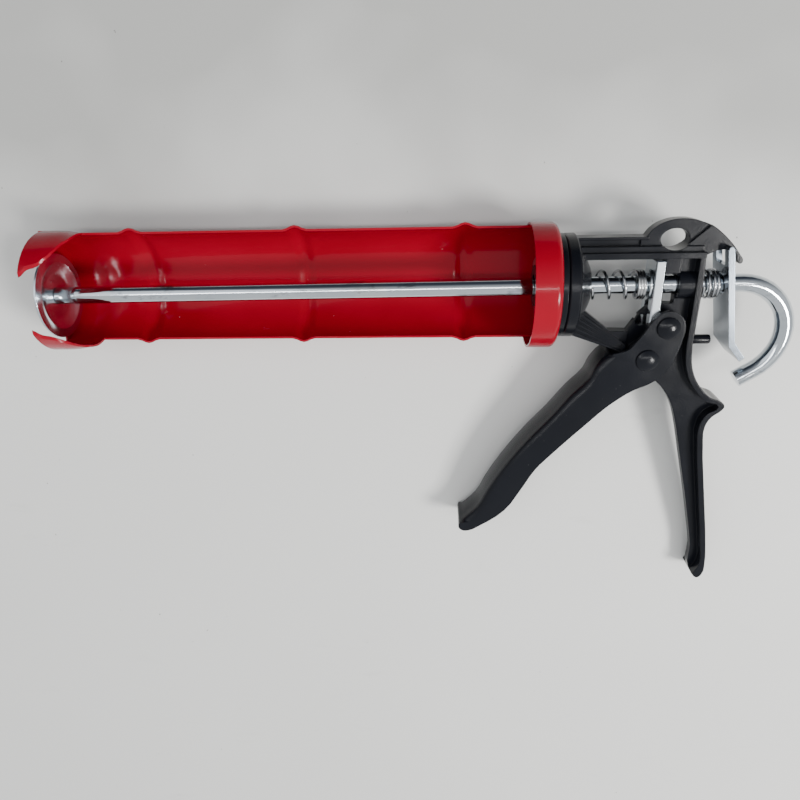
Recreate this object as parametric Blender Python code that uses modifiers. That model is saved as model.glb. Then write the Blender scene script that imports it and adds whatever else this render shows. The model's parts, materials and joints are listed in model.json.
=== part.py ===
"""A half-round caulking gun for 50 mm cartridges, lying on its side at rest.

Everything is laid out in the gun's own plane first: the barrel runs along X with the nozzle at -X,
the handle hangs towards -Y, and the trough opens to +Z. X = 0 is the back face of the rear cap and
the barrel's axis is y = z = 0. An empty, rest_pose, then turns the whole gun until its beads and the
tip of its handle stand on one level surface, and puts the middle of the base at the origin.
"""

import math

import bmesh
import bpy
from mathutils import Matrix, Vector

MM = 0.001
GAP = 0.3 * MM                    # left between pieces that touch
RUNNING = 0.3 * MM                # radial clearance of what turns or slides

# Barrel
CARTRIDGE_RADIUS = 24.9 * MM
CARTRIDGE_CLEARANCE = 0.3 * MM
SHEET = 1.0 * MM
BARREL_LENGTH = 231.4 * MM        # from the cap's floor to the front wall
EDGE_DROP = 11.0                  # degrees by which the trough's edges lie below its axis
BEAD_HEIGHT = 1.8 * MM
BEAD_HALF_WIDTH = 5.5 * MM
FRONT_BEAD = 40.5 * MM            # from the front wall to the first bead
REAR_BEAD = 38.3 * MM             # from the cap's floor to the last bead
CLAW_HEIGHT = 23.5 * MM           # claw tips above the axis
CLAW_LENGTH = 17.5 * MM           # along the barrel, at the claw's root
CLAW_SETBACK = 2.9 * MM           # of the claws' front edges behind the front wall
CLAW_SWELL = 1.1 * MM             # how far the claws stand out from the trough
NOZZLE_SLOT_RADIUS = 11.5 * MM
CAP_LENGTH = 11.7 * MM
CAP_WALL = 1.0 * MM
CAP_FLOOR = 1.2 * MM
CAP_CORNER = 2.6 * MM

# Rod and plunger
ROD_RADIUS = 4.0 * MM
ROD_DROOP = 0.44                  # degrees by which the rod hangs in its guides
HOOK_RADIUS = 22.2 * MM
HOOK_START = 81.0 * MM
HOOK_SWEEP = 148.0                # degrees
HOOK_TAIL = 8.2 * MM
DISC_RADIUS = 19.4 * MM
DISC_RIDGE_RADIUS = 15.4 * MM
DISC_SHEET = 0.9 * MM
DISC_RIDGE_HEIGHT = 1.8 * MM
DISC_SEAT = 3.3 * MM              # from the front wall to the disc's flat middle
STUD_RADIUS = 2.5 * MM

# Casting
FRAME_HALF_WIDTH = 7.0 * MM
WEB_HALF = 2.0 * MM
HEAD_RADIUS = 22.7 * MM
HEAD_START = 3.0 * MM
HEAD_LENGTH = 5.2 * MM
DOME_LENGTH = 6.5 * MM
SPIGOT_RADIUS = 9.0 * MM
SPIGOT_LENGTH = 12.0 * MM
BAR_BOTTOM = 12.4 * MM
BAR_TOP = 21.3 * MM
LOBE_HALF = 3.0 * MM
BEAK_HALF = 4.2 * MM
POST_FRONT = 52.4 * MM
POST_BACK = 62.3 * MM
FLANGE = 2.6 * MM                 # thickness of the rims round the handle
GUIDE_RADIUS = 6.3 * MM
GUSSET_FRONT = 47.0 * MM          # of the gusset over the rod, in front of the post
GUSSET_BOTTOM = 5.2 * MM
HANG_HOLE = (49.3 * MM, 20.1 * MM)
HANG_HOLE_SIZE = (6.1 * MM, 4.5 * MM)

# Trigger and what it drives
PIVOT = (42.0 * MM, -32.3 * MM)
PIVOT_RADIUS = 3.0 * MM
BUSH_WALL = 1.5 * MM
BOSS_RADIUS = 8.0 * MM
DRIVE_PIN = (49.4 * MM, -17.3 * MM)
DRIVE_PIN_RADIUS = 2.2 * MM
ROLLER_RADIUS = 3.2 * MM
TRIGGER_TRAVEL = 34.0             # degrees
CHEEK = 2.0 * MM
CHEEK_GAP = 1.0 * MM              # between a cheek and the frame's rims
TRIGGER_FRONT_WALL = 2.2 * MM
RIVET_HEAD_RADIUS = 5.0 * MM
RIVET_HEAD_HEIGHT = 1.9 * MM
HEAD_RIM = 0.3 * MM               # straight edge of a rivet head, under its dome
HEAD_LEVELS = 4
HEAD_SIDES = 28
DRIVE_PLATE_THICKNESS = 4.3 * MM
DRIVE_PLATE_TOP = 11.7 * MM
DRIVE_PLATE_BOTTOM = -20.3 * MM
DRIVE_PLATE_HALF = 7.5 * MM
PLATE_HOLE = 0.7 * MM             # radial clearance of the rod in both plates

# Springs and release plate
WIRE = 0.65 * MM
SPRING_RADIUS = 6.1 * MM
SEAT_THICKNESS = 0.8 * MM
RELEASE_HINGE = (70.0 * MM, 14.5 * MM)
RELEASE_LEAN = 9.5                # degrees
RELEASE_THICKNESS = 2.6 * MM
RELEASE_HALF = 9.0 * MM
RELEASE_RISE = 2.6 * MM           # above the hinge
RELEASE_DROP = 41.5 * MM          # below the hinge, to the bend
RELEASE_TAB = 9.0 * MM
RELEASE_TAB_ANGLE = 30.0
PEG_RADIUS = 2.2 * MM
PEG_HEIGHT = -25.6 * MM
PEG_REACH = 9.4 * MM              # out of the back of the post

# Derived
CRADLE_INNER = CARTRIDGE_RADIUS + CARTRIDGE_CLEARANCE
CRADLE_OUTER = CRADLE_INNER + SHEET
CAP_INNER = CRADLE_OUTER + GAP
CAP_OUTER = CAP_INNER + CAP_WALL
FRONT_WALL_BACK = -CAP_FLOOR - BARREL_LENGTH
CRADLE_FRONT = FRONT_WALL_BACK - SHEET
CRADLE_REAR = -CAP_FLOOR - GAP
TROUGH_EDGE = -CRADLE_OUTER * math.sin(math.radians(EDGE_DROP))
CONTACT_RADIUS = CRADLE_OUTER + BEAD_HEIGHT
CHEEK_INNER = FRAME_HALF_WIDTH + CHEEK_GAP
CHEEK_OUTER = CHEEK_INNER + CHEEK
HEAD_BACK = HEAD_START + HEAD_LENGTH
DOME_BACK = HEAD_BACK + DOME_LENGTH
GUIDE_MIDDLE = (POST_FRONT + POST_BACK) / 2
BORE_RADIUS = ROD_RADIUS + RUNNING + 0.1 * MM
DROOP_IN_HEAD = (GUIDE_MIDDLE + SPIGOT_LENGTH) * math.tan(math.radians(ROD_DROOP))
HEAD_BORE = ROD_RADIUS + RUNNING + DROOP_IN_HEAD
DRIVE_PLATE_BACK = DRIVE_PIN[0] - ROLLER_RADIUS - 0.4 * MM
DRIVE_PLATE_FRONT = DRIVE_PLATE_BACK - DRIVE_PLATE_THICKNESS
DISC_BACK = FRONT_WALL_BACK + DISC_SEAT
FULL_TURN = 2 * math.pi
ROUND = 32                        # sides of a round piece
FINE = 48                         # sides of a large round piece


# ---------------------------------------------------------------- scene and materials

def clear_scene():
    for thing in list(bpy.data.objects):
        bpy.data.objects.remove(thing, do_unlink=True)


def new_collection(name):
    group = bpy.data.collections.new(name)
    bpy.context.scene.collection.children.link(group)
    return group


clear_scene()
PARTS = new_collection("caulking_gun")
CUTTERS = new_collection("cutters")


def make_material(name, colour, metallic, roughness):
    material = bpy.data.materials.new(name)
    material.use_nodes = True
    shader = material.node_tree.nodes["Principled BSDF"]
    shader.inputs["Base Color"].default_value = (*colour, 1.0)
    shader.inputs["Metallic"].default_value = metallic
    shader.inputs["Roughness"].default_value = roughness
    return material


RED = ("red_enamel", (0.42, 0.008, 0.018), 0.0, 0.25)
BLACK = ("black_powder_coat", (0.028, 0.03, 0.036), 0.0, 0.38)
ZINC = ("bright_zinc", (0.72, 0.75, 0.78), 1.0, 0.28)
SPRING_STEEL = ("spring_steel", (0.62, 0.63, 0.64), 1.0, 0.3)
BRONZE = ("bronze", (0.6, 0.42, 0.22), 1.0, 0.35)


def new_empty(name, location=(0, 0, 0), parent=None):
    empty = bpy.data.objects.new(name, None)
    empty.location = location
    empty.parent = parent
    PARTS.objects.link(empty)
    return empty


REST_POSE = new_empty("rest_pose")


def add(name, mesh, group=PARTS):
    """A new object in the gun's plane."""
    thing = bpy.data.objects.new(name, mesh)
    thing.parent = REST_POSE
    group.objects.link(thing)
    return thing


def as_cutter(thing):
    PARTS.objects.unlink(thing)
    CUTTERS.objects.link(thing)
    thing.hide_render = True
    thing.display_type = "WIRE"
    return thing


def finish(thing, look, parent=None):
    """Give a piece its own material, smooth its round faces and hang it on its joint's empty."""
    material = make_material(f"{look[0]}_{thing.name}", *look[1:])
    thing.data.materials.clear()
    thing.data.materials.append(material)
    thing.data.shade_smooth()
    thing.data.set_sharp_from_angle(angle=math.radians(30))
    if parent is not None:
        cutters = [modifier.object for modifier in thing.modifiers if modifier.type == "BOOLEAN"]
        for piece in [thing] + cutters:
            piece.location = piece.location - parent.location
            piece.parent = parent
        if tuple(thing.rotation_euler) == (0, 0, 0):
            thing.data.transform(Matrix.Translation(thing.location))
            thing.location = (0, 0, 0)
    return thing


# ---------------------------------------------------------------- shape helpers

def boolean(target, other, operation):
    modifier = target.modifiers.new(f"{operation.lower()}_{other.name}", "BOOLEAN")
    modifier.operation = operation
    modifier.solver = "EXACT"
    modifier.object = as_cutter(other)
    return target


def cut(target, other):
    return boolean(target, other, "DIFFERENCE")


def join(target, other):
    return boolean(target, other, "UNION")


def mesh_from_curve(name, curve):
    """The curve's solid as a welded mesh."""
    helper = bpy.data.objects.new(name + "_curve", curve)
    PARTS.objects.link(helper)
    evaluated = helper.evaluated_get(bpy.context.evaluated_depsgraph_get())
    mesh = bpy.data.meshes.new_from_object(evaluated)
    bpy.data.objects.remove(helper, do_unlink=True)
    bpy.data.curves.remove(curve)
    work = bmesh.new()
    work.from_mesh(mesh)
    bmesh.ops.remove_doubles(work, verts=work.verts, dist=1e-6)
    bmesh.ops.recalc_face_normals(work, faces=work.faces)
    work.to_mesh(mesh)
    work.free()
    return mesh


def outline_solid(name, points, low, high, resolution=3):
    """A flat outline in the gun's plane, extruded from z = low to z = high.

    A point is (x, y) where the outline runs smoothly, or (x, y, "corner").
    """
    curve = bpy.data.curves.new(name, "CURVE")
    curve.dimensions = "2D"
    curve.fill_mode = "BOTH"
    curve.resolution_u = resolution
    curve.extrude = (high - low) / 2
    spline = curve.splines.new("BEZIER")
    spline.bezier_points.add(len(points) - 1)
    for knot, point in zip(spline.bezier_points, points):
        knot.co = (point[0], point[1], 0)
        kind = "VECTOR" if len(point) > 2 else "AUTO"
        knot.handle_left_type = kind
        knot.handle_right_type = kind
    spline.use_cyclic_u = True
    mesh = mesh_from_curve(name, curve)
    mesh.transform(Matrix.Translation((0, 0, (low + high) / 2)))
    return add(name, mesh)


def scaled(points):
    """Outline points written in millimetres, as metres."""
    return [(point[0] * MM, point[1] * MM, *point[2:]) for point in points]


def turned(name, profile, sides=ROUND):
    """A closed profile of (radius, x) turned round the barrel's axis.

    The profile runs towards -X along its outer side and back along its inner side.
    """
    mesh = bpy.data.meshes.new(name)
    points = [(radius, 0, x) for radius, x in profile]
    edges = [(i, (i + 1) % len(points)) for i in range(len(points))]
    mesh.from_pydata(points, edges, [])
    thing = add(name, mesh)
    thing.rotation_euler = (0, math.pi / 2, 0)
    screw = thing.modifiers.new("turn", "SCREW")
    screw.axis = "Z"
    screw.angle = FULL_TURN
    screw.steps = sides
    screw.render_steps = sides
    screw.use_merge_vertices = True
    screw.merge_threshold = 1e-6
    return thing


def ring(name, inner, outer, front, back, sides=ROUND):
    return turned(name, [(inner, back), (outer, back), (outer, front), (inner, front)], sides)


def box(name, low, high):
    work = bmesh.new()
    bmesh.ops.create_cube(work, size=1.0)
    size = Vector(high) - Vector(low)
    middle = (Vector(high) + Vector(low)) / 2
    bmesh.ops.scale(work, vec=size, verts=work.verts)
    bmesh.ops.translate(work, vec=middle, verts=work.verts)
    mesh = bpy.data.meshes.new(name)
    work.to_mesh(mesh)
    work.free()
    return add(name, mesh)


def cylinder(name, centre, radius, low, high, sides=ROUND, top=None):
    """A cylinder across the gun's plane, from z = low to z = high."""
    work = bmesh.new()
    far = radius if top is None else top
    bmesh.ops.create_cone(work, cap_ends=True, segments=sides, radius1=radius, radius2=far,
                          depth=high - low)
    bmesh.ops.translate(work, vec=(centre[0], centre[1], (low + high) / 2), verts=work.verts)
    mesh = bpy.data.meshes.new(name)
    work.to_mesh(mesh)
    work.free()
    return add(name, mesh)


def rod_along_x(name, radius, front, back, sides=ROUND):
    work = bmesh.new()
    bmesh.ops.create_cone(work, cap_ends=True, segments=sides, radius1=radius, radius2=radius,
                          depth=back - front)
    bmesh.ops.rotate(work, matrix=Matrix.Rotation(math.pi / 2, 3, "Y"), verts=work.verts)
    bmesh.ops.translate(work, vec=((front + back) / 2, 0, 0), verts=work.verts)
    mesh = bpy.data.meshes.new(name)
    work.to_mesh(mesh)
    work.free()
    return add(name, mesh)


def tube(name, path, radius, bevel_resolution=2):
    """A round wire or bar along a path of points."""
    curve = bpy.data.curves.new(name, "CURVE")
    curve.dimensions = "3D"
    curve.bevel_depth = radius
    curve.bevel_resolution = bevel_resolution
    curve.use_fill_caps = True
    spline = curve.splines.new("POLY")
    spline.points.add(len(path) - 1)
    for knot, point in zip(spline.points, path):
        knot.co = (*point, 1)
    return add(name, mesh_from_curve(name, curve))


def arc(centre, radius, start, end, steps):
    """Points of an arc in the gun's plane, angles in degrees."""
    points = []
    for step in range(steps + 1):
        angle = math.radians(start + (end - start) * step / steps)
        points.append((centre[0] + radius * math.cos(angle), centre[1] + radius * math.sin(angle)))
    return points


def coil_path(front, back, radius, wire, open_turns, pitch_steps=12):
    """A coil along X with one closed turn at each end and even turns between."""
    closed = 2 * wire * 1.08
    turns = [closed] + [0.0] * open_turns + [closed]
    spread = (back - front - 2 * closed) / open_turns
    path = []
    x = front
    for index, advance in enumerate(turns):
        advance = advance or spread
        for step in range(pitch_steps):
            share = step / pitch_steps
            angle = FULL_TURN * share
            path.append((x + advance * share, radius * math.cos(angle), radius * math.sin(angle)))
        x += advance
    path.append((x, radius, 0))
    return path


# ---------------------------------------------------------------- barrel

def bead_places():
    first = FRONT_WALL_BACK + FRONT_BEAD
    last = -CAP_FLOOR - REAR_BEAD
    return [first, (first + last) / 2, last]


def trough_radius(x):
    """Outer radius of the trough at x: a straight wall with three pressed beads and a swollen front."""
    radius = CRADLE_OUTER
    for middle in bead_places():
        away = abs(x - middle) / BEAD_HALF_WIDTH
        if away < 1:
            radius += BEAD_HEIGHT * (1 + math.cos(math.pi * away)) / 2
    root = FRONT_WALL_BACK + CLAW_LENGTH
    if x < root:
        radius += CLAW_SWELL * math.sin(math.pi / 2 * min(1, (root - x) / (CLAW_LENGTH * 0.5)))
    return radius


def trough_stations():
    """Places along the barrel where its profile bends."""
    stations = [CRADLE_FRONT]
    stations += [FRONT_WALL_BACK + CLAW_LENGTH * share for share in (0.5, 0.67, 0.83, 1.0)]
    for middle in bead_places():
        stations += [middle + BEAD_HALF_WIDTH * share for share in (-1, -0.6, -0.3, 0, 0.3, 0.6, 1)]
    return stations + [CRADLE_REAR]


# The claws' rear edges, from the root to the tip, as shares of their length and height.
CLAW_REAR_EDGE = [(0.94, 0.44), (0.85, 0.55), (0.72, 0.755), (0.45, 0.91), (0.19, 0.945), (0.08, 0.985)]


def make_cradle(parent):
    stations = trough_stations()
    outer = [(trough_radius(x), x) for x in reversed(stations)]
    inner = [(trough_radius(x) - SHEET, x) for x in stations]
    cradle = turned("cradle", outer + inner, FINE)
    root = FRONT_WALL_BACK + CLAW_LENGTH
    reach = 2 * CRADLE_OUTER
    tip = CRADLE_FRONT + CLAW_SETBACK
    rise = CLAW_HEIGHT - TROUGH_EDGE
    wall_top = TROUGH_EDGE + 2 * MM
    rear_edge = [(tip + along * CLAW_LENGTH, TROUGH_EDGE + up * rise) for along, up in CLAW_REAR_EDGE]
    side = [(CRADLE_REAR + reach, TROUGH_EDGE, "corner"), (root + 1 * MM, TROUGH_EDGE, "corner")]
    side += rear_edge
    side += [
        (tip, CLAW_HEIGHT, "corner"),
        (tip, wall_top, "corner"),
        (CRADLE_FRONT - reach, wall_top, "corner"),
        (CRADLE_FRONT - reach, reach, "corner"),
        (CRADLE_REAR + reach, reach, "corner"),
    ]
    opening = outline_solid("trough_opening", side, -reach, reach)
    opening.data.transform(Matrix.Rotation(math.pi / 2, 4, "X"))
    cut(cradle, opening)
    join(cradle, make_front_wall())
    return finish(cradle, RED, parent)


def make_front_wall():
    """The half-round wall that the cartridge's shoulder rests on, with a slot for its nozzle."""
    radius = trough_radius(CRADLE_FRONT) - SHEET / 2
    edge = math.degrees(math.asin(-TROUGH_EDGE / radius))
    rim = arc((0, 0), radius, 180 + edge, 360 - edge, 24)
    slot_edge = math.degrees(math.asin(-TROUGH_EDGE / NOZZLE_SLOT_RADIUS))
    slot = arc((0, 0), NOZZLE_SLOT_RADIUS, 360 - slot_edge, 180 + slot_edge, 12)
    points = [(*point, "corner") for point in rim + slot]
    wall = outline_solid("front_wall", points, CRADLE_FRONT, CRADLE_FRONT + SHEET)
    turn = Matrix(((0, 0, 1, 0), (1, 0, 0, 0), (0, 1, 0, 0), (0, 0, 0, 1)))
    wall.data.transform(turn)
    return wall


def make_rear_cap(parent):
    corner = arc((CAP_OUTER - CAP_CORNER, -CAP_CORNER), CAP_CORNER, 90, 0, 5)
    profile = [(SPIGOT_RADIUS + RUNNING, 0)] + corner + [
        (CAP_OUTER, -CAP_LENGTH),
        (CAP_INNER, -CAP_LENGTH),
        (CAP_INNER, -CAP_FLOOR),
        (SPIGOT_RADIUS + RUNNING, -CAP_FLOOR),
    ]
    return finish(turned("rear_cap", profile, FINE), RED, parent)


# ---------------------------------------------------------------- what joins the barrel to the casting

def make_swivel_plate():
    plate = ring("swivel_plate", SPIGOT_RADIUS + GAP, HEAD_RADIUS, GAP, HEAD_START - GAP, FINE)
    return finish(plate, BLACK)


def make_swivel_washer():
    back = -CAP_FLOOR - GAP
    washer = ring("swivel_washer", SPIGOT_RADIUS + GAP, SPIGOT_RADIUS + 6 * MM, back - 1.2 * MM, back)
    return finish(washer, ZINC)


def make_head_nut():
    back = -CAP_FLOOR - 2 * GAP - 1.2 * MM
    nut = rod_along_x("head_nut", SPIGOT_RADIUS + 6 * MM, back - 5 * MM, back, 6)
    bore = rod_along_x("head_nut_bore", SPIGOT_RADIUS + GAP, back - 9 * MM, back + 4 * MM)
    return finish(cut(nut, bore), ZINC)


# ---------------------------------------------------------------- casting

def make_head():
    """The round head with its dome, and the spigot that the barrel turns on."""
    chamfer = 0.7 * MM
    dome = [
        (SPIGOT_RADIUS, DOME_BACK),
        (SPIGOT_RADIUS + 2.5 * MM, DOME_BACK - 1.2 * MM),
        (HEAD_RADIUS - 5 * MM, HEAD_BACK + 1.6 * MM),
        (HEAD_RADIUS - 2 * MM, HEAD_BACK),
    ]
    profile = [(HEAD_BORE, DOME_BACK)] + dome + [
        (HEAD_RADIUS - chamfer, HEAD_BACK),
        (HEAD_RADIUS, HEAD_BACK - chamfer),
        (HEAD_RADIUS, HEAD_START + chamfer),
        (HEAD_RADIUS - chamfer, HEAD_START),
        (SPIGOT_RADIUS, HEAD_START),
        (SPIGOT_RADIUS, HEAD_START - SPIGOT_LENGTH),
        (HEAD_BORE, HEAD_START - SPIGOT_LENGTH),
    ]
    return turned("frame_casting", profile, FINE)


HANDLE_BACK = [
    (62.3, 4), (62.1, -17), (62.3, -31), (64.5, -40), (69.2, -47.4), (74, -51.9),
    (78.4, -53.6), (80.7, -56), (79.6, -58.4), (75.8, -61.6), (73.5, -66.5), (74.2, -77),
    (77.3, -95.3), (80.6, -113), (83.9, -132), (85.4, -145),
]
HANDLE_TIP = [(84.9, -151.5), (82.6, -153.8), (79.9, -151.6)]
HANDLE_FRONT = [
    (78.6, -137), (75.5, -122.5), (71.8, -106.8), (68, -92), (64.6, -78.5), (61.3, -65.8),
    (58, -56.6), (53.8, -49.8),
]
CROTCH = (49.2, -45)
WEB_EDGE = [
    (41, -41.4), (34.2, -38.2), (30.5, -32, "corner"), (28, -21.2, "corner"),
    (33.4, -20.9, "corner"), (42.1, -9.6), (48.5, -8.2), (52.4, -8.2, "corner"),
]


def inset(points, distance):
    """The same run of points moved to its right by a distance, all in millimetres."""
    moved = []
    for index, point in enumerate(points):
        before = points[max(0, index - 1)]
        after = points[min(len(points) - 1, index + 1)]
        along = Vector((after[0] - before[0], after[1] - before[1])).normalized()
        moved.append((point[0] + along.y * distance, point[1] - along.x * distance))
    return moved


def make_handle():
    """Post and handle: a flat web with a rim along its back that wraps round the tip."""
    top = (BAR_BOTTOM + 0.8 * MM) / MM
    start = [(POST_FRONT / MM, top, "corner"), (POST_BACK / MM - 0.5, top, "corner")]
    outline = start + HANDLE_BACK + HANDLE_TIP + HANDLE_FRONT + [(*CROTCH, "corner")] + WEB_EDGE
    handle = outline_solid("handle_web", scaled(outline), -WEB_HALF, WEB_HALF)
    rim = FLANGE / MM
    back = HANDLE_BACK[:6] + [HANDLE_BACK[7]] + HANDLE_BACK[9:]
    inner = inset(back, rim)
    end = [(HANDLE_TIP[-1][0], HANDLE_TIP[-1][1], "corner")]
    start = [(POST_BACK / MM - rim, top, "corner"), (POST_BACK / MM - 0.5, top, "corner")]
    outline = start + HANDLE_BACK + HANDLE_TIP[:2] + end + list(reversed(inner))
    rim = outline_solid("handle_rim", scaled(outline), -FRAME_HALF_WIDTH, FRAME_HALF_WIDTH)
    return handle, rim


LOBE_TOP = [(36.5, 20.8), (39.4, 24.3), (44, 27.2), (51.5, 28.6), (59.5, 27.3)]
BEAK = [
    (66, 24.2), (72.4, 18.6), (76.7, 13.4), (78.4, 10.4), (77.2, 9.4), (75.8, 11.2),
    (75.2, 13.4), (73.6, 15.2),
]


def make_lobe():
    """The ear with the hanging hole, which ends in the beak that holds the release plate."""
    inside_beak = [(64, 25.2, "corner"), (65, 17, "corner"), (60.5, 13.3, "corner")]
    inside_bar = [(35, 13.3, "corner"), (35, 20.6, "corner")]
    return outline_solid("lobe", scaled(LOBE_TOP + inside_beak + inside_bar), -LOBE_HALF, LOBE_HALF)


def make_beak():
    """The thicker rear part of the lobe; its front edge is the slanting step."""
    step = [(53, 16.4, "corner"), (63.4, 25.9, "corner")]
    foot = [(67.5, 15.4, "corner"), (61.5, 12.8, "corner"), (54, 12.8, "corner")]
    return outline_solid("beak", scaled(step + BEAK + foot), -BEAK_HALF, BEAK_HALF)


def make_bar(casting):
    """The top bar: a web with a wide lower flange, a step above it and a narrow top flange."""
    start = HEAD_BACK - 2 * MM
    lobe_start = 38 * MM
    layers = [
        ("bar_web", BAR_BOTTOM + 0.2 * MM, BAR_TOP - 0.2 * MM, WEB_HALF, POST_FRONT),
        ("bar_flange", BAR_BOTTOM, BAR_BOTTOM + 2.6 * MM, FRAME_HALF_WIDTH, POST_BACK - 0.2 * MM),
        ("bar_step", BAR_BOTTOM + 1 * MM, BAR_BOTTOM + 5 * MM, 5 * MM, POST_BACK - 1 * MM),
        ("bar_top", BAR_TOP - 1.2 * MM, BAR_TOP, 4 * MM, lobe_start),
    ]
    for name, low, high, half, end in layers:
        join(casting, box(name, (start, low, -half), (end, high, half)))


BRACE_NEAR_HEAD = ((7, -8), (7, -21))
BRACE_NEAR_WEB = ((33, -26.5), (33, -30.3))
BRACE_HALF = 6.0 * MM
FLUTES = 4
FLUTE_WIDTH = 0.7 * MM
FLUTE_DEPTH = 0.7 * MM


def make_brace(casting):
    """The fluted strut from the head to the web, and the shelf above it."""
    shelf = [(7, -8), (14.3, -11.4), (25.8, -20.6), (34, -20.9), (34, -31), (28, -29), (7, -21)]
    corners = [(*point, "corner") for point in shelf]
    join(casting, outline_solid("brace_shelf", scaled(corners), -WEB_HALF - 1 * MM, WEB_HALF + 1 * MM))
    strut = [*BRACE_NEAR_HEAD, *reversed(BRACE_NEAR_WEB)]
    strut = [(*point, "corner") for point in strut]
    join(casting, outline_solid("brace_strut", scaled(strut), -BRACE_HALF, BRACE_HALF))
    for number in range(FLUTES):
        share = (number + 1) / (FLUTES + 1)
        start = Vector(BRACE_NEAR_HEAD[0]).lerp(Vector(BRACE_NEAR_HEAD[1]), share) * MM
        end = Vector(BRACE_NEAR_WEB[0]).lerp(Vector(BRACE_NEAR_WEB[1]), share) * MM
        along = end - start
        for side in (-1, 1):
            low = (start.x + 2 * MM, -FLUTE_WIDTH / 2, -FLUTE_DEPTH)
            high = (start.x + along.length - 2 * MM, FLUTE_WIDTH / 2, FLUTE_DEPTH)
            flute = box(f"flute_{number}_{side + 1}", low, high)
            flute.data.transform(Matrix.Translation((-start.x, 0, 0)))
            flute.data.transform(Matrix.Rotation(math.atan2(along.y, along.x), 4, "Z"))
            flute.data.transform(Matrix.Translation((start.x, start.y, side * BRACE_HALF)))
            cut(casting, flute)


def pin_slot():
    """The slot in the web that lets the drive rivet swing with the trigger."""
    arm = Vector((DRIVE_PIN[0] - PIVOT[0], DRIVE_PIN[1] - PIVOT[1]))
    start = math.degrees(math.atan2(arm.y, arm.x)) - 1.5
    end = start + TRIGGER_TRAVEL + 3
    half = DRIVE_PIN_RADIUS + 0.4 * MM
    first = (PIVOT[0] + arm.length * math.cos(math.radians(start)),
             PIVOT[1] + arm.length * math.sin(math.radians(start)))
    last = (PIVOT[0] + arm.length * math.cos(math.radians(end)),
            PIVOT[1] + arm.length * math.sin(math.radians(end)))
    points = arc(PIVOT, arm.length + half, start, end, 6)
    points += arc(last, half, end, end + 180, 6)[1:-1]
    points += arc(PIVOT, arm.length - half, end, start, 6)
    points += arc(first, half, start + 180, start + 360, 6)[1:-1]
    corners = [(*point, "corner") for point in points]
    return outline_solid("pin_slot", corners, -WEB_HALF - 3 * MM, WEB_HALF + 3 * MM)


def make_casting():
    casting = make_head()
    for piece in make_handle():
        join(casting, piece)
    make_bar(casting)
    join(casting, make_lobe())
    join(casting, make_beak())
    make_brace(casting)
    join(casting, cylinder("pivot_boss", PIVOT, BOSS_RADIUS, -FRAME_HALF_WIDTH + GAP,
                           FRAME_HALF_WIDTH - GAP))
    join(casting, box("gusset", (GUSSET_FRONT, GUSSET_BOTTOM, -LOBE_HALF),
                      (POST_FRONT + 1 * MM, BAR_BOTTOM + 1 * MM, LOBE_HALF)))
    join(casting, rod_along_x("rod_guide", GUIDE_RADIUS, POST_FRONT + 0.6 * MM, POST_BACK - 0.4 * MM))
    cut(casting, cylinder("pivot_bore", PIVOT, PIVOT_RADIUS + BUSH_WALL + GAP,
                          -2 * FRAME_HALF_WIDTH, 2 * FRAME_HALF_WIDTH))
    cut(casting, pin_slot())
    cut(casting, rod_along_x("rod_bore", BORE_RADIUS, POST_FRONT - 5 * MM, POST_BACK + 5 * MM))
    hole = cylinder("hang_hole", (0, 0), 1.0, -2 * FRAME_HALF_WIDTH, 2 * FRAME_HALF_WIDTH)
    hole.data.transform(Matrix.Diagonal((*HANG_HOLE_SIZE, 1, 1)))
    hole.data.transform(Matrix.Translation((*HANG_HOLE, 0)))
    cut(casting, hole)
    cut(casting, rod_along_x("peg_bore", PEG_RADIUS + GAP, POST_BACK - 3 * MM, POST_BACK + 9 * MM))
    bpy.data.objects["peg_bore"].location = (0, PEG_HEIGHT, 0)
    return finish(casting, BLACK)


def make_stop_peg():
    peg = rod_along_x("stop_peg", PEG_RADIUS, POST_BACK - 3 * MM + GAP, POST_BACK + PEG_REACH, 20)
    peg.data.transform(Matrix.Translation((0, PEG_HEIGHT, 0)))
    rounding = peg.modifiers.new("rounded_ends", "BEVEL")
    rounding.limit_method = "ANGLE"
    rounding.angle_limit = math.radians(45)
    rounding.width = 0.9 * MM
    rounding.segments = 2
    return finish(peg, BLACK)


# ---------------------------------------------------------------- trigger

TRIGGER_LOBE = [
    (33.3, -27.3), (36.1, -24), (39.4, -19.4), (42.6, -13.6), (48.2, -9.7), (53.8, -11.4),
    (56.6, -16), (56.3, -22), (54.4, -30), (51, -38),
]
TRIGGER_BACK = [
    (43.6, -44), (38.2, -46.4), (31.9, -50.6), (25.4, -56), (18.1, -63.5), (9.5, -72.5),
    (1.5, -81.2), (-4.6, -88.4), (-11.2, -100), (-18.6, -111.7), (-31, -121.2),
]
TRIGGER_TIP = [(-36.4, -124), (-40, -123.7), (-41.5, -121)]
TRIGGER_FRONT = [
    (-38.7, -117.8), (-32.4, -111), (-27.6, -101.5), (-20.6, -89.5), (-9.2, -73.6), (1.8, -60.6),
    (9.8, -50.2), (17.2, -42), (19.6, -36.4), (24.6, -30.4),
]


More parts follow.
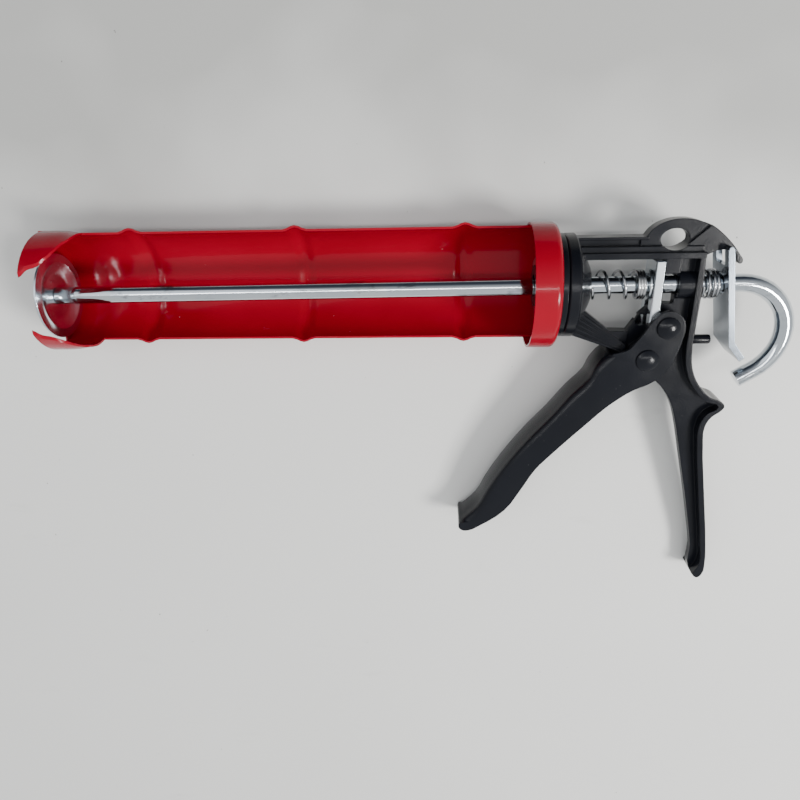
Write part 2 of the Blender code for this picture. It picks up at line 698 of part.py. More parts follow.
def round_front(trigger):
    """Round the long edges where the sheet wraps over the trigger's front."""
    weights = trigger.data.attributes.new("bevel_weight_edge", "FLOAT", "EDGE")
    line = [Vector(point) * MM for point in TRIGGER_FRONT]
    near = 1.6 * MM
    for edge in trigger.data.edges:
        ends = [trigger.data.vertices[index].co for index in edge.vertices]
        flat = abs(ends[0].z - ends[1].z) < 1e-6
        middle = ((ends[0] + ends[1]) / 2).to_2d()
        on_front = any(distance_to_run(middle, a, b) < near for a, b in zip(line, line[1:]))
        both = all(any(distance_to_run(end.to_2d(), a, b) < near for a, b in zip(line, line[1:]))
                   for end in ends)
        weights.data[edge.index].value = 1.0 if flat and on_front and both else 0.0
    bevel = trigger.modifiers.new("front_round", "BEVEL")
    bevel.limit_method = "WEIGHT"
    bevel.width = 3.2 * MM
    bevel.segments = 3


def distance_to_run(point, start, end):
    along = end - start
    share = max(0.0, min(1.0, (point - start).dot(along) / along.length_squared))
    return (point - start - along * share).length


def make_trigger(parent):
    outline = TRIGGER_LOBE + TRIGGER_BACK + TRIGGER_TIP + TRIGGER_FRONT + [(29.4, -28.6)]
    trigger = outline_solid("trigger", scaled(outline), -CHEEK_OUTER, CHEEK_OUTER)
    round_front(trigger)
    wall = TRIGGER_FRONT_WALL / MM
    front = inset(TRIGGER_FRONT, wall)
    beyond = inset(TRIGGER_BACK, -6)
    rest = [(24.3, -10, "corner"), (70, -5, "corner"), (70, -50, "corner")]
    hollow = outline_solid("trigger_hollow", scaled(front + rest + beyond), -CHEEK_INNER, CHEEK_INNER)
    cut(trigger, hollow)
    for name, centre, radius in (("pivot", PIVOT, PIVOT_RADIUS), ("drive", DRIVE_PIN, DRIVE_PIN_RADIUS)):
        cut(trigger, cylinder(f"trigger_{name}_hole", centre, radius + GAP,
                              -2 * CHEEK_OUTER, 2 * CHEEK_OUTER))
    return finish(trigger, BLACK, parent)


def dome(name, centre, radius, base, height, side):
    """A shallow round head whose flat face lies on z = side * base and which swells away from it."""
    ball = (radius ** 2 + height ** 2) / (2 * height)
    span = math.asin(radius / ball)
    levels = [(radius, 0)]
    for level in range(HEAD_LEVELS):
        angle = span * (1 - level / HEAD_LEVELS)
        levels.append((ball * math.sin(angle), HEAD_RIM + ball * (math.cos(angle) - math.cos(span))))
    work = bmesh.new()
    loops = []
    for reach, rise in levels:
        corners = []
        for step in range(HEAD_SIDES):
            turn = FULL_TURN * step / HEAD_SIDES
            across = (centre[0] + reach * math.cos(turn), centre[1] + reach * math.sin(turn))
            corners.append(work.verts.new((*across, side * (base + rise))))
        loops.append(corners)
    for lower, upper in zip(loops, loops[1:]):
        for step in range(HEAD_SIDES):
            after = (step + 1) % HEAD_SIDES
            work.faces.new((lower[step], lower[after], upper[after], upper[step]))
    work.faces.new(loops[0])
    work.faces.new(loops[-1])
    bmesh.ops.recalc_face_normals(work, faces=work.faces)
    mesh = bpy.data.meshes.new(name)
    work.to_mesh(mesh)
    work.free()
    return add(name, mesh)


def make_rivet(name, centre, radius, parent):
    """A shank with a low domed head outside each cheek."""
    inner = CHEEK_OUTER + GAP
    rivet = cylinder(name, centre, radius, -inner - 0.1 * MM, inner + 0.1 * MM, 24)
    for side, label in ((1, "near"), (-1, "far")):
        join(rivet, dome(f"{name}_{label}_head", centre, RIVET_HEAD_RADIUS, inner,
                         RIVET_HEAD_HEIGHT - HEAD_RIM, side))
    return finish(rivet, BLACK, parent)


def cross_ring(name, centre, inner, outer, low, high, look, parent, sides=24):
    thing = cylinder(name, centre, outer, low, high, sides)
    cut(thing, cylinder(name + "_bore", centre, inner, low - 2 * MM, high + 2 * MM, sides))
    return finish(thing, look, parent)


# ---------------------------------------------------------------- drive plate and springs

def plate_across_rod(name, front, thickness, low, high, half):
    return box(name, (front, low, -half), (front + thickness, high, half))


def make_drive_plate(parent):
    """A forked plate: the rod goes through its hole, the web through its fork."""
    plate = plate_across_rod("drive_plate", DRIVE_PLATE_FRONT, DRIVE_PLATE_THICKNESS,
                             DRIVE_PLATE_BOTTOM, DRIVE_PLATE_TOP, DRIVE_PLATE_HALF)
    corners = plate.modifiers.new("corners", "BEVEL")
    corners.limit_method = "ANGLE"
    corners.width = 0.5 * MM
    corners.segments = 1
    hole = ROD_RADIUS + PLATE_HOLE
    cut(plate, rod_along_x("drive_plate_hole", hole, DRIVE_PLATE_FRONT - 5 * MM,
                           DRIVE_PLATE_BACK + 5 * MM))
    fork_half = WEB_HALF + 0.8 * MM
    low = (DRIVE_PLATE_FRONT - 5 * MM, DRIVE_PLATE_BOTTOM - 5 * MM, -fork_half)
    high = (DRIVE_PLATE_BACK + 5 * MM, -hole - 1.8 * MM, fork_half)
    cut(plate, box("drive_plate_fork", low, high))
    return finish(plate, ZINC, parent)


def make_spring_seat(parent):
    back = DRIVE_PLATE_FRONT - GAP
    front = back - SEAT_THICKNESS
    seat = ring("spring_seat", ROD_RADIUS + PLATE_HOLE, SPRING_RADIUS + WIRE, front, back, 24)
    return finish(seat, ZINC, parent)


def make_spring(name, front, back, open_turns):
    path = coil_path(front + WIRE + GAP, back - WIRE - GAP, SPRING_RADIUS, WIRE, open_turns)
    return finish(tube(name, path, WIRE), SPRING_STEEL)


# ---------------------------------------------------------------- release plate

def make_release_plate(parent):
    """The thumb plate: it hooks under the beak, leans back on the rod and ends in a bent tab."""
    lean = math.radians(RELEASE_LEAN)
    tab = math.radians(RELEASE_LEAN + RELEASE_TAB_ANGLE)
    down = Vector((math.sin(lean), -math.cos(lean)))
    out = Vector((math.sin(tab), -math.cos(tab)))
    hinge = Vector(RELEASE_HINGE)
    back = Vector((math.cos(lean), math.sin(lean))) * RELEASE_THICKNESS
    tab_back = Vector((math.cos(tab), math.sin(tab))) * RELEASE_THICKNESS
    top = hinge - down * RELEASE_RISE
    bend = hinge + down * RELEASE_DROP
    end = bend + out * RELEASE_TAB
    inner_bend = bend + back.normalized() * RELEASE_THICKNESS + down * -1.4 * MM
    shoulder = down * 0.4 * RELEASE_THICKNESS
    rounded_top = [top + back + shoulder, top + 0.72 * back, top + 0.28 * back, top + shoulder]
    section = [bend, end, end + tab_back, inner_bend] + rounded_top
    corners = [(*point, "corner") for point in section]
    plate = outline_solid("release_plate", corners, -RELEASE_HALF, RELEASE_HALF)
    hole = rod_along_x("release_plate_hole", ROD_RADIUS + PLATE_HOLE, RELEASE_HINGE[0] - 15 * MM,
                       RELEASE_HINGE[0] + 20 * MM)
    cut(plate, hole)
    slot = BEAK_HALF + 0.6 * MM
    notch = box("release_plate_notch", (RELEASE_HINGE[0] - 12 * MM, RELEASE_HINGE[1] - 5.5 * MM, -slot),
                (RELEASE_HINGE[0] + 12 * MM, RELEASE_HINGE[1] + 15 * MM, slot))
    cut(plate, notch)
    return finish(plate, ZINC, parent)


# ---------------------------------------------------------------- rod and plunger

def make_push_rod(parent):
    bend = arc((HOOK_START, -HOOK_RADIUS), HOOK_RADIUS, 90, 90 - HOOK_SWEEP, 18)
    last = Vector(bend[-1])
    heading = math.radians(-HOOK_SWEEP)
    tail = last + Vector((math.cos(heading), math.sin(heading))) * HOOK_TAIL
    front = DISC_BACK + GAP
    flat = [(front, 0), (front + 60 * MM, 0), (POST_FRONT, 0)] + bend + [tuple(tail)]
    path = [(x, y, 0) for x, y in flat]
    rod = tube("push_rod", path, ROD_RADIUS, 4)
    stud = rod_along_x("rod_stud", STUD_RADIUS, DISC_BACK - DISC_SHEET - 5.2 * MM, front + 0.5 * MM, 16)
    return finish(join(rod, stud), ZINC, parent)


def disc_stations():
    """Radius and height of the disc's back face: a flat middle, a dish, a ridge and a sloping skirt."""
    ridge = DISC_RIDGE_RADIUS
    high = DISC_RIDGE_HEIGHT
    return [
        (STUD_RADIUS + GAP, 0),
        (5.5 * MM, 0),
        (9 * MM, -0.6 * MM),
        (12.5 * MM, -0.2 * MM),
        (ridge - 0.8 * MM, high - 0.4 * MM),
        (ridge, high),
        (ridge + 1 * MM, high - 0.5 * MM),
        (DISC_RADIUS, high - 0.6 * MM),
    ]


def make_plunger_disc(parent):
    face = [(radius, DISC_BACK + height) for radius, height in disc_stations()]
    under = [(radius, x - DISC_SHEET) for radius, x in reversed(face)]
    return finish(turned("plunger_disc", face + under, FINE), ZINC, parent)


def make_plunger_fixings(parent):
    back = DISC_BACK - DISC_SHEET - 0.6 * MM - GAP
    washer = ring("plunger_washer", STUD_RADIUS + GAP, 6 * MM, back - 0.8 * MM, back, 24)
    finish(washer, ZINC, parent)
    face = back - 0.8 * MM - GAP
    nut = rod_along_x("plunger_nut", 5 * MM, face - 2.6 * MM, face, 6)
    bore = rod_along_x("plunger_nut_bore", STUD_RADIUS + GAP, face - 6 * MM, face + 4 * MM, 16)
    finish(cut(nut, bore), ZINC, parent)


# ---------------------------------------------------------------- assembly

def lay_down():
    """Turn the gun until its beads and its handle's tip share one level base, then centre the base."""
    reach = -min(point[1] for point in HANDLE_TIP) * MM
    corner = math.atan2(FRAME_HALF_WIDTH, reach)
    lean = math.asin(CONTACT_RADIUS / math.hypot(reach, FRAME_HALF_WIDTH)) - corner
    REST_POSE.rotation_euler = (lean, 0, 0)
    bpy.context.view_layer.update()
    graph = bpy.context.evaluated_depsgraph_get()
    corners = []
    for thing in PARTS.objects:
        if thing.type == "MESH":
            solid = thing.evaluated_get(graph)
            corners += [solid.matrix_world @ vertex.co for vertex in solid.data.vertices]
    low = [min(point[axis] for point in corners) for axis in range(3)]
    high = [max(point[axis] for point in corners) for axis in range(3)]
    REST_POSE.location = (-(low[0] + high[0]) / 2, -(low[1] + high[1]) / 2, -low[2])
    bpy.context.view_layer.update()


def build():
    barrel = new_empty("barrel_axis", (0, 0, 0), REST_POSE)
    rod = new_empty("rod_axis", (GUIDE_MIDDLE, 0, 0), REST_POSE)
    rod.rotation_euler = (0, 0, math.radians(ROD_DROOP))
    trigger = new_empty("trigger_axis", (*PIVOT, 0), REST_POSE)
    drive = new_empty("drive_plate_axis", (DRIVE_PLATE_FRONT, 0, 0), REST_POSE)
    release = new_empty("release_axis", (*RELEASE_HINGE, 0), REST_POSE)

    make_cradle(barrel)
    make_rear_cap(barrel)
    make_swivel_plate()
    make_swivel_washer()
    make_head_nut()
    make_casting()
    make_stop_peg()

    boss = FRAME_HALF_WIDTH - GAP
    cross_ring("pivot_bush", PIVOT, PIVOT_RADIUS + RUNNING, PIVOT_RADIUS + BUSH_WALL, -boss, boss,
               BRONZE, None)
    washer_low = FRAME_HALF_WIDTH + 0.1 * MM
    washer_high = CHEEK_INNER - GAP
    for side, label in ((1, "near"), (-1, "far")):
        low, high = sorted((side * washer_low, side * washer_high))
        cross_ring(f"cheek_washer_{label}", PIVOT, PIVOT_RADIUS + GAP, 6.2 * MM, low, high, ZINC, trigger)
        low, high = sorted((side * (WEB_HALF + 0.5 * MM), side * (CHEEK_INNER - GAP)))
        cross_ring(f"drive_roller_{label}", DRIVE_PIN, DRIVE_PIN_RADIUS + GAP, ROLLER_RADIUS,
                   low, high, ZINC, trigger)
    make_trigger(trigger)
    make_rivet("pivot_rivet", PIVOT, PIVOT_RADIUS, trigger)
    make_rivet("drive_rivet", DRIVE_PIN, DRIVE_PIN_RADIUS, trigger)

    make_drive_plate(drive)
    make_spring_seat(drive)
    make_spring("main_spring", DOME_BACK, DRIVE_PLATE_FRONT - 2 * GAP - SEAT_THICKNESS, 3)
    lean = math.tan(math.radians(RELEASE_LEAN))
    plate_at_rod = RELEASE_HINGE[0] + (RELEASE_HINGE[1] - SPRING_RADIUS) * lean
    make_spring("release_spring", POST_BACK, plate_at_rod, 2)
    make_release_plate(release)

    make_push_rod(rod)
    make_plunger_disc(rod)
    make_plunger_fixings(rod)
    lay_down()


build()
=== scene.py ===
# %% [markdown]
# # A caulking gun on a workshop table
#
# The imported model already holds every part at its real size. This lesson gives the parts their
# finishes: glossy red enamel on the trough and its cap, black powder coat on the casting and the
# trigger, zinc plating on the rod and the plates. Only the two coil springs are made again here, from
# the rule of how they are wound. Every other part keeps the shape it has in the model.

# %% Load the model
import json
import math

import bmesh
import bpy
from mathutils import Matrix, Vector


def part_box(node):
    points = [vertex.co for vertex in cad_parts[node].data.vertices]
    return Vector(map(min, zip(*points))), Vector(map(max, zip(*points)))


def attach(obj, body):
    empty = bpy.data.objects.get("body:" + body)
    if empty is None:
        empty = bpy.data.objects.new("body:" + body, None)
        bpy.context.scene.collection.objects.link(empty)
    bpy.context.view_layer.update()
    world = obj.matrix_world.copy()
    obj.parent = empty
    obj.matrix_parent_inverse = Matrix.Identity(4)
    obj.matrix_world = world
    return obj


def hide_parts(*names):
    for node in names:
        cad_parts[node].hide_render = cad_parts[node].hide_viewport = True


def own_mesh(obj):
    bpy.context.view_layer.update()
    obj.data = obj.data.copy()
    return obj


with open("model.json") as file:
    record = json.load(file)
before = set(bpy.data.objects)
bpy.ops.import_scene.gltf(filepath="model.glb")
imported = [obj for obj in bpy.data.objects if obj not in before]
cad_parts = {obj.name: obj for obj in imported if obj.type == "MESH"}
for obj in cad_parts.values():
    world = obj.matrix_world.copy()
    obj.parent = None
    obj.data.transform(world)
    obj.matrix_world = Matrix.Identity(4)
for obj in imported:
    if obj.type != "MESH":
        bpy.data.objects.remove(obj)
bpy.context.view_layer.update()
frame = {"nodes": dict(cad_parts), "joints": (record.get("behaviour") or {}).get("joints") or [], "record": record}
joints = {joint["name"]: joint for joint in frame["joints"]}
bodies = frame["record"]["behaviour"]["bodies"]
body_of = {node: body for body, nodes in bodies.items() for node in nodes}

# %% [markdown]
# ## The gun's own plane
#
# The gun lies on its side, leaning a few degrees because the beads of its trough and the tip of its
# handle touch the table. It is easier to place things in the gun's own plane, so a matrix takes
# points from that plane (x along the barrel from the cap's back face, y towards the hanging ear, z out
# of the side) to the table. The joints give it: the trigger turns about z and the trough about x.

# %% From the gun's plane to the table
MM = 0.001
WELD = 1e-6
out_of_side = Vector(joints["trigger_pivot"]["axis"])
lean = math.atan2(-out_of_side.y, out_of_side.z)
GUN = Matrix.Translation(joints["barrel_swivel"]["pos_m"]) @ Matrix.Rotation(lean, 4, "X")
print("the gun leans by", round(math.degrees(lean), 2), "degrees")

# %% [markdown]
# ## Helpers for node trees
#
# A finish and a Geometry Nodes shape are both trees. The first helper adds a node, sets its
# properties and plugs in its inputs, so each tree can be read from top to bottom. The others are the
# steps that every tree here repeats: a noise, a change of range, a sum, a mix of two colours.

# %% Build a node and wire it up
def add_node(tree, kind, inputs=None, **settings):
    """A new node; an input is a socket to link from, or a plain value."""
    node = tree.nodes.new(kind)
    for name, value in settings.items():
        setattr(node, name, value)
    for key, value in (inputs or {}).items():
        socket = node.inputs[key]
        if isinstance(value, bpy.types.NodeSocket):
            tree.links.new(value, socket)
        else:
            socket.default_value = value
    return node


def noise(tree, where, scale, detail=3.0, roughness=0.5, stretch=(1, 1, 1)):
    """Noise in the object's own metres, stretched along its axes."""
    place = add_node(tree, "ShaderNodeMapping", {"Vector": where, "Scale": stretch})
    node = add_node(tree, "ShaderNodeTexNoise", {
        "Vector": place.outputs["Vector"], "Scale": scale, "Detail": detail, "Roughness": roughness})
    return node.outputs["Fac"]


def remap(tree, value, old, new):
    """The value, with the old range stretched over the new one and held within it."""
    node = add_node(tree, "ShaderNodeMapRange", {
        "Value": value, "From Min": old[0], "From Max": old[1], "To Min": new[0], "To Max": new[1]})
    return node.outputs["Result"]


def calculate(tree, operation, first, second):
    return add_node(tree, "ShaderNodeMath", {0: first, 1: second}, operation=operation).outputs[0]


def blend_colours(tree, share, first, second):
    node = add_node(tree, "ShaderNodeMix", data_type="RGBA")
    for socket, value in ((node.inputs[0], share), (node.inputs[6], first), (node.inputs[7], second)):
        if isinstance(value, bpy.types.NodeSocket):
            tree.links.new(value, socket)
        elif isinstance(value, tuple):
            socket.default_value = (*value, 1.0)
        else:
            socket.default_value = value
    return node.outputs[2]


def new_finish(name):
    material = bpy.data.materials.new(name)
    material.use_nodes = True
    tree = material.node_tree
    shader = tree.nodes["Principled BSDF"]
    where = add_node(tree, "ShaderNodeTexCoord").outputs["Object"]
    return material, tree, shader, where


def wire(tree, shader, **inputs):
    for name, value in inputs.items():
        tree.links.new(value, shader.inputs[name.replace("_", " ")])


def grain(tree, shader, height, strength, depth, edge):
    """A bump from a height, over edges that are rounded by a small radius in the shading."""
    rounded = add_node(tree, "ShaderNodeBevel", {"Radius": edge}, samples=4)
    bump = add_node(tree, "ShaderNodeBump", {
        "Height": height, "Strength": strength, "Distance": depth, "Normal": rounded.outputs["Normal"]})
    tree.links.new(bump.outputs["Normal"], shader.inputs["Normal"])


# %% [markdown]
# ## Red enamel
#
# The trough and the cap are sprayed with a thick gloss enamel over pressed sheet. It could be one red
# with a clear coat, but a used gun shows more: the coat pools a little, it has the faint ripple of
# sprayed paint, cartridges leave pale rub marks, and a few chips show. A noise at its own scale gives
# each of those.

# %% Make the enamel
def red_enamel():
    material, tree, shader, where = new_finish("red enamel")
    pooled = noise(tree, where, scale=22, detail=4)
    thick_coat, thin_coat = (0.23, 0.0, 0.008), (0.35, 0.001, 0.018)
    rubbed, bare = (0.62, 0.3, 0.3), (0.7, 0.55, 0.5)
    base = blend_colours(tree, pooled, thick_coat, thin_coat)
    rub = noise(tree, where, scale=150, detail=5, roughness=0.65, stretch=(0.5, 1.6, 1.6))
    rub = remap(tree, rub, (0.68, 0.74), (0, 0.6))
    patch = remap(tree, noise(tree, where, scale=26, detail=2), (0.56, 0.66), (0, 1))
    worn = calculate(tree, "MULTIPLY", rub, patch)
    chips = remap(tree, noise(tree, where, scale=420, detail=2), (0.8, 0.82), (0, 1))
    colour = blend_colours(tree, worn, base, rubbed)
    colour = blend_colours(tree, chips, colour, bare)
    rough = remap(tree, worn, (0, 1), (0.22, 0.5))
    wire(tree, shader, Base_Color=colour, Roughness=rough)
    shader.inputs["Specular IOR Level"].default_value = 0.13
    shader.inputs["Coat Weight"].default_value = 0.17
    shader.inputs["Coat Roughness"].default_value = 0.06
    ripple = noise(tree, where, scale=240, detail=2)
    grain(tree, shader, ripple, strength=0.12, depth=0.2 * MM, edge=0.4 * MM)
    return material


RED = red_enamel()
print(RED.name, "has", len(RED.node_tree.nodes), "nodes")

# %% [markdown]
# ## Black powder coat
#
# The casting and the trigger have a thin powder coat. It is dark blue-grey rather than black, half
# glossy, with a fine grain like the skin of an orange, and it holds a little pale dust. The casting's
# edges are soft, so the finish also rounds the shading over its edges.

# %% Make the powder coat
def black_powder():
    material, tree, shader, where = new_finish("black powder coat")
    deep, faded, dust_grey = (0.0035, 0.004, 0.0058), (0.0075, 0.0085, 0.0125), (0.09, 0.09, 0.09)
    cloud = noise(tree, where, scale=35, detail=4)
    base = blend_colours(tree, cloud, deep, faded)
    dust = noise(tree, where, scale=520, detail=3, roughness=0.6)
    dust = remap(tree, dust, (0.7, 0.78), (0, 0.35))
    colour = blend_colours(tree, dust, base, dust_grey)
    rough = remap(tree, noise(tree, where, scale=90, detail=3), (0.3, 0.7), (0.17, 0.26))
    wire(tree, shader, Base_Color=colour, Roughness=rough)
    shader.inputs["Specular IOR Level"].default_value = 0.2
    orange_peel = noise(tree, where, scale=1500, detail=2)
    grain(tree, shader, orange_peel, strength=0.35, depth=0.12 * MM, edge=0.7 * MM)
    return material


BLACK = black_powder()
print(BLACK.name, "has", len(BLACK.node_tree.nodes), "nodes")

# %% [markdown]
# ## Zinc, spring steel and bronze
#
# The rod, the plates and the fixings are bright zinc: a cool mirror with a slight milky bloom, faint
# yellow patches from the plating bath, and grey stains where hands and sealant have been. The same
# tree serves the duller release plate, spring steel and bronze with other colours.

# %% Make the bare metals
def plated_metal(name, bright, dull, stain, stain_share, rough, stretch=(1, 1, 1)):
    """Bare metal that runs from bright to dull, yellows in patches and carries rougher stains."""
    material, tree, shader, where = new_finish(name)
    yellowed = (bright[0], bright[1] * 0.96, bright[2] * 0.82)
    bloom = noise(tree, where, scale=60, detail=4, roughness=0.6, stretch=stretch)
    base = blend_colours(tree, bloom, bright, dull)
    tint = remap(tree, noise(tree, where, scale=32, detail=2), (0.55, 0.72), (0, 0.5))
    base = blend_colours(tree, tint, base, yellowed)
    stains = noise(tree, where, scale=130, detail=5, roughness=0.7, stretch=stretch)
    stains = remap(tree, stains, (0.62 - stain_share, 0.72), (0, 1))
    handled = remap(tree, noise(tree, where, scale=24, detail=2), (0.45, 0.6), (0.15, 1))
    stains = calculate(tree, "MULTIPLY", stains, handled)
    colour = blend_colours(tree, stains, base, stain)
    wire(tree, shader, Base_Color=colour, Roughness=remap(tree, stains, (0, 1), rough))
    shader.inputs["Metallic"].default_value = 1.0
    drawn_lines = noise(tree, where, scale=500, detail=2, roughness=0.5, stretch=(0.15, 1, 1))
    grain(tree, shader, drawn_lines, strength=0.1, depth=0.1 * MM, edge=0.3 * MM)
    return material


ZINC = plated_metal(
    "bright zinc", bright=(0.74, 0.79, 0.84), dull=(0.6, 0.65, 0.7), stain=(0.3, 0.3, 0.29),
    stain_share=0.0, rough=(0.2, 0.42))
ROD = plated_metal(
    "zinc on the rod", bright=(0.7, 0.74, 0.78), dull=(0.52, 0.56, 0.6), stain=(0.08, 0.08, 0.09),
    stain_share=0.07, rough=(0.08, 0.3), stretch=(0.5, 1, 1))
STEEL = plated_metal(
    "spring steel", bright=(0.56, 0.57, 0.59), dull=(0.4, 0.41, 0.43), stain=(0.16, 0.15, 0.14),
    stain_share=0.03, rough=(0.22, 0.45))
PLATE = plated_metal(
    "dull zinc plate", bright=(0.22, 0.25, 0.285), dull=(0.15, 0.17, 0.2), stain=(0.06, 0.06, 0.06),
    stain_share=0.03, rough=(0.18, 0.4))
BRONZE = plated_metal(
    "bearing bronze", bright=(0.62, 0.43, 0.22), dull=(0.5, 0.34, 0.17), stain=(0.2, 0.12, 0.06),
    stain_share=0.0, rough=(0.3, 0.5))
print(len(bpy.data.materials), "materials")

# %% [markdown]
# ## Pieces that keep their shape
#
# Every part except the springs already has the right shape, but the model holds it as loose triangles,
# which shade flat. A copy with its points welded shades smooth over its rounds and stays crisp at its
# edges. The flat faces are joined up first, so no sliver triangle spoils the shine.

# %% Copy a part, weld it and shade it
FLAT_WITHIN = math.radians(0.4)
CREASE = math.radians(34)


def keep(piece, node, finish):
    """Hang a finished piece on the body of the part it stands for."""
    piece.data.materials.clear()
    piece.data.materials.append(finish)
    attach(piece, body_of[node])
    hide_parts(node)
    return piece


def new_piece(name, mesh):
    piece = bpy.data.objects.new(name, mesh)
    bpy.context.scene.collection.objects.link(piece)
    return piece


def welded(node):
    """The part's mesh with its points welded, its flat faces whole and its imported normals gone."""
    work = bmesh.new()
    work.from_mesh(frame["nodes"][node].data)
    bmesh.ops.remove_doubles(work, verts=work.verts, dist=WELD)
    bmesh.ops.dissolve_limit(work, angle_limit=FLAT_WITHIN, verts=work.verts, edges=work.edges)
    mesh = bpy.data.meshes.new(node + "_skin")
    work.to_mesh(mesh)
    work.free()
    for leftover in ("custom_normal", "sharp_face"):
        if leftover in mesh.attributes:
            mesh.attributes.remove(mesh.attributes[leftover])
    return mesh


def shaded_copy(node, finish):
    mesh = welded(node)
    mesh.shade_smooth()
    mesh.set_sharp_from_angle(angle=CREASE)
    keep(new_piece(node + "_finished", mesh), node, finish)


COPIES = {
    "cradle": RED, "rear_cap": RED,
    "frame_casting": BLACK, "swivel_plate": BLACK, "stop_peg": BLACK, "trigger": BLACK,
    "pivot_rivet": BLACK, "drive_rivet": BLACK,
    "drive_plate": ZINC, "release_plate": PLATE, "spring_seat": ZINC, "swivel_washer": ZINC,
    "head_nut": ZINC, "plunger_disc": ZINC, "plunger_washer": ZINC, "plunger_nut": ZINC,
    "cheek_washer_near": ZINC, "cheek_washer_far": ZINC,
    "drive_roller_near": ZINC, "drive_roller_far": ZINC,
    "pivot_bush": BRONZE, "push_rod": ROD,
}
for node, finish in COPIES.items():
    shaded_copy(node, finish)
print(len(COPIES), "parts keep their shape")

# %% [markdown]
# ## Coil springs
#
# A compression spring is a wire wound on a mandrel. These two are open towards the head and wound close
# against their plates. A spiral curve makes the turns, two Map Range nodes set how its height grows,
# fast in the first half of the turns and slowly in the second, and Curve to Mesh gives it its round
# wire. The sizes are inputs, so one tree makes both springs.

# %% A Geometry Nodes tree for a spring
RINGS_PER_TURN = 40
WIRE_SIDES = 14
HALF_THE_TURNS = 0.5


def spring_tree(finish):
    tree = bpy.data.node_groups.new("coil spring", "GeometryNodeTree")
    tree.interface.new_socket("Geometry", in_out="OUTPUT", socket_type="NodeSocketGeometry")
    for name in ("Coil radius", "Wire radius", "Length", "Turns", "Open share"):
        tree.interface.new_socket(name, in_out="INPUT", socket_type="NodeSocketFloat")
    sizes = tree.nodes.new("NodeGroupInput").outputs
    spiral = add_node(tree, "GeometryNodeCurveSpiral", {
        "Resolution": RINGS_PER_TURN, "Rotations": sizes["Turns"], "Start Radius": sizes["Coil radius"],
        "End Radius": sizes["Coil radius"], "Height": sizes["Length"]})
    share = add_node(tree, "GeometryNodeSplineParameter").outputs["Factor"]
    closed_share = calculate(tree, "SUBTRACT", 1.0, sizes["Open share"])
    opened = remap(tree, share, (0.0, HALF_THE_TURNS), (0.0, sizes["Open share"]))
    closed = remap(tree, share, (HALF_THE_TURNS, 1.0), (0.0, closed_share))
    height = calculate(tree, "MULTIPLY", calculate(tree, "ADD", opened, closed), sizes["Length"])
    place = add_node(tree, "ShaderNodeSeparateXYZ", {
        "Vector": add_node(tree, "GeometryNodeInputPosition").outputs[0]})
    moved = add_node(tree, "ShaderNodeCombineXYZ", {
        "X": height, "Y": place.outputs["Y"], "Z": place.outputs["X"]})
    wound = add_node(tree, "GeometryNodeSetPosition", {
        "Geometry": spiral.outputs[0], "Position": moved.outputs[0]})
    section = add_node(tree, "GeometryNodeCurvePrimitiveCircle", {
        "Resolution": WIRE_SIDES, "Radius": sizes["Wire radius"]})
    solid = add_node(tree, "GeometryNodeCurveToMesh", {
        "Curve": wound.outputs[0], "Profile Curve": section.outputs[0], "Fill Caps": True})
    real = add_node(tree, "GeometryNodeRealizeInstances", {"Geometry": solid.outputs[0]})
    coloured = add_node(tree, "GeometryNodeSetMaterial", {
        "Geometry": real.outputs[0], "Material": finish})
    end = tree.nodes.new("NodeGroupOutput")
    tree.links.new(coloured.outputs[0], end.inputs[0])
    return tree


def grown(name, tree, **sizes):
    """Run a tree on an empty mesh and return its result as a plain mesh."""
    holder = new_piece(name + "_grower", bpy.data.meshes.new(name))
    modifier = holder.modifiers.new("grow", "NODES")
    modifier.node_group = tree
    for socket in tree.interface.items_tree:
        key = socket.name.lower().replace(" ", "_")
        if socket.in_out == "INPUT" and key in sizes:
            modifier[socket.identifier] = sizes[key]
    graph = bpy.context.evaluated_depsgraph_get()
    mesh = bpy.data.meshes.new_from_object(holder.evaluated_get(graph))
    bpy.data.objects.remove(holder, do_unlink=True)
    work = bmesh.new()
    work.from_mesh(mesh)
    bmesh.ops.remove_doubles(work, verts=work.verts, dist=WELD)
    bmesh.ops.recalc_face_normals(work, faces=work.faces)
    work.to_mesh(mesh)
    work.free()
    mesh.name = name
    print(name, len(mesh.polygons), "faces")
    return mesh


# %% Wind both springs
SPRING = spring_tree(STEEL)
WIRE = 0.65 * MM
WIRE_CREASE = math.radians(50)


def wind(node, turns, open_share):
    """Wind a spring in its part's box."""
    low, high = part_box(node)
    radius = (high.y - low.y) / 2 - WIRE
    length = high.x - low.x - 2 * WIRE
    mesh = grown(node + "_wound", SPRING, coil_radius=radius, wire_radius=WIRE, length=length,
                 turns=turns, open_share=open_share)
    front = GUN.inverted() @ Vector((low.x + WIRE, 0, 0))
    mesh.transform(GUN @ Matrix.Translation((front.x, 0, 0)))
    mesh.shade_smooth()
    mesh.set_sharp_from_angle(angle=WIRE_CREASE)
    piece = keep(new_piece(node + "_coil", mesh), node, STEEL)
    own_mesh(piece)


wind("main_spring", turns=5.6, open_share=0.85)
wind("release_spring", turns=3.6, open_share=0.6)

# %% [markdown]
# ## Table, light and camera
#
# The table is a pale board with a few scuffs and specks, and a painted shade darkens it towards
# the back. A long thin lamp overhead draws the bright band on the cap and the rod, a small one beyond
# the hook throws the shadows to the left, and a wide weak one beyond the trough's front fills them a
# little. The room is bright on the handle's side and dim beyond the hanging ear, so the rod shows a
# dark line along its upper side. The camera stands over the gun, a little on the side of the hanging ear.

# %% Lay the table
HALF_A_TABLE = 2.5


